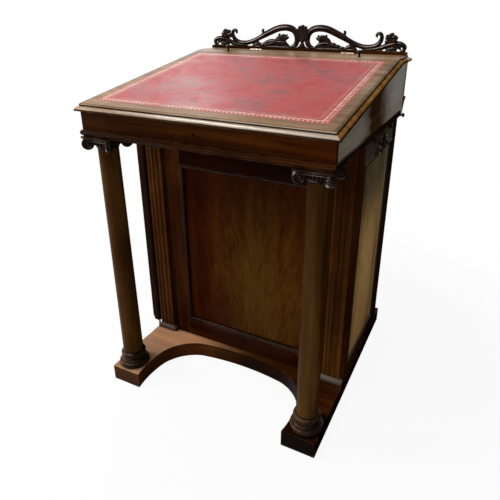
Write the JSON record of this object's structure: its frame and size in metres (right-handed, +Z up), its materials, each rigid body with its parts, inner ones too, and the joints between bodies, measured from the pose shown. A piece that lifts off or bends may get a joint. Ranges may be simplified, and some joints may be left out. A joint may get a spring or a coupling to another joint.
{
  "type": "davenport desk",
  "caption": "Davenport desk: sloping leathered lid on a writing box, carved back gallery, two Ionic columns in front of a pedestal with side drawers, pull-out slides and a recessed plinth.",
  "frame": {"origin": "centre of the underside of the base platform, on the floor", "axes": "+Z up, +X to the sitter's right, +Y from the sitter towards the back"},
  "size_m": [0.5955, 0.604, 0.8683],
  "materials": {
    "mahogany": "polished dark red-brown mahogany",
    "carved_mahogany": "carved and turned mahogany, darkened with age and wax",
    "figured_mahogany": "flame-figured mahogany veneer, polished",
    "secondary_wood": "plain dry secondary wood",
    "red_leather": "worn red leather with gilt tooled border",
    "brass": "dull aged brass"
  },
  "bodies": {
    "desk": {"base_platform": "mahogany", "pedestal_bottom": "secondary_wood", "pedestal_top": "secondary_wood", "pedestal_back": "mahogany", "front_stile_left": "mahogany", "front_stile_right": "mahogany", "front_rail_top": "mahogany", "front_rail_bottom": "mahogany", "front_panel": "figured_mahogany", "front_panel_moulding": "mahogany", "side_stile_front": "mahogany", "side_stile_rear": "mahogany", "side_rail_top": "mahogany", "side_rail_bottom": "mahogany", "side_panel": "figured_mahogany", "side_panel_moulding": "mahogany", "side_cartouche": "carved_mahogany", "left_post_front": "mahogany", "left_post_rear": "mahogany", "drawer_framing": "secondary_wood", "stile_pivots": "brass", "pilaster_left": "mahogany", "pilaster_right": "mahogany", "pilaster_base_left": "carved_mahogany", "pilaster_base_right": "carved_mahogany", "column_base_left": "carved_mahogany", "column_base_right": "carved_mahogany", "column_shaft_left": "mahogany", "column_shaft_right": "mahogany", "capital_left": "carved_mahogany", "capital_right": "carved_mahogany", "slide_bearers": "secondary_wood", "box_moulding": "mahogany", "box_front": "mahogany", "box_side_left": "mahogany", "box_side_right": "mahogany", "box_back": "mahogany", "box_bottom": "secondary_wood", "box_ledge": "mahogany", "rear_cornice": "mahogany", "lid_lock": "brass", "pigeonholes": "secondary_wood", "hinge_leaves_box": "brass", "gallery_rail": "mahogany", "gallery": "carved_mahogany"},
    "lid": {"lid": "mahogany", "lid_leather": "red_leather", "hinge_leaves_lid": "brass", "lid_knobs": "carved_mahogany"},
    "drawer_1": {"drawer_1": "mahogany", "drawer_knobs_1": "carved_mahogany"},
    "drawer_2": {"drawer_2": "mahogany", "drawer_knobs_2": "carved_mahogany"},
    "drawer_3": {"drawer_3": "mahogany", "drawer_knobs_3": "carved_mahogany"},
    "drawer_4": {"drawer_4": "mahogany", "drawer_knobs_4": "carved_mahogany"},
    "locking_stile": {"locking_stile": "mahogany"},
    "slide_left": {"slide_left": "mahogany"},
    "slide_right": {"slide_right": "mahogany"}
  },
  "joints": [
    {"name": "lid_hinge", "type": "hinge", "parent": "desk", "child": "lid", "pos_m": [0, 0.25, 0.7993], "axis": [-1, 0, 0], "range_deg": [0, 80]},
    {"name": "drawer_1_slide", "type": "slide", "parent": "desk", "child": "drawer_1", "axis": [-1, 0, 0], "range_m": [0, 0.34]},
    {"name": "drawer_2_slide", "type": "slide", "parent": "desk", "child": "drawer_2", "axis": [-1, 0, 0], "range_m": [0, 0.34]},
    {"name": "drawer_3_slide", "type": "slide", "parent": "desk", "child": "drawer_3", "axis": [-1, 0, 0], "range_m": [0, 0.34]},
    {"name": "drawer_4_slide", "type": "slide", "parent": "desk", "child": "drawer_4", "axis": [-1, 0, 0], "range_m": [0, 0.34]},
    {"name": "slide_right_pull", "type": "slide", "parent": "desk", "child": "slide_right", "axis": [1, 0, 0], "range_m": [0, 0.2]},
    {"name": "slide_left_pull", "type": "slide", "parent": "desk", "child": "slide_left", "axis": [-1, 0, 0], "range_m": [0, 0.2]},
    {"name": "locking_stile_hinge", "type": "hinge", "parent": "desk", "child": "locking_stile", "pos_m": [-0.2831, -0.0848, 0.348], "axis": [0, 0, 1], "range_deg": [0, 90]}
  ]
}
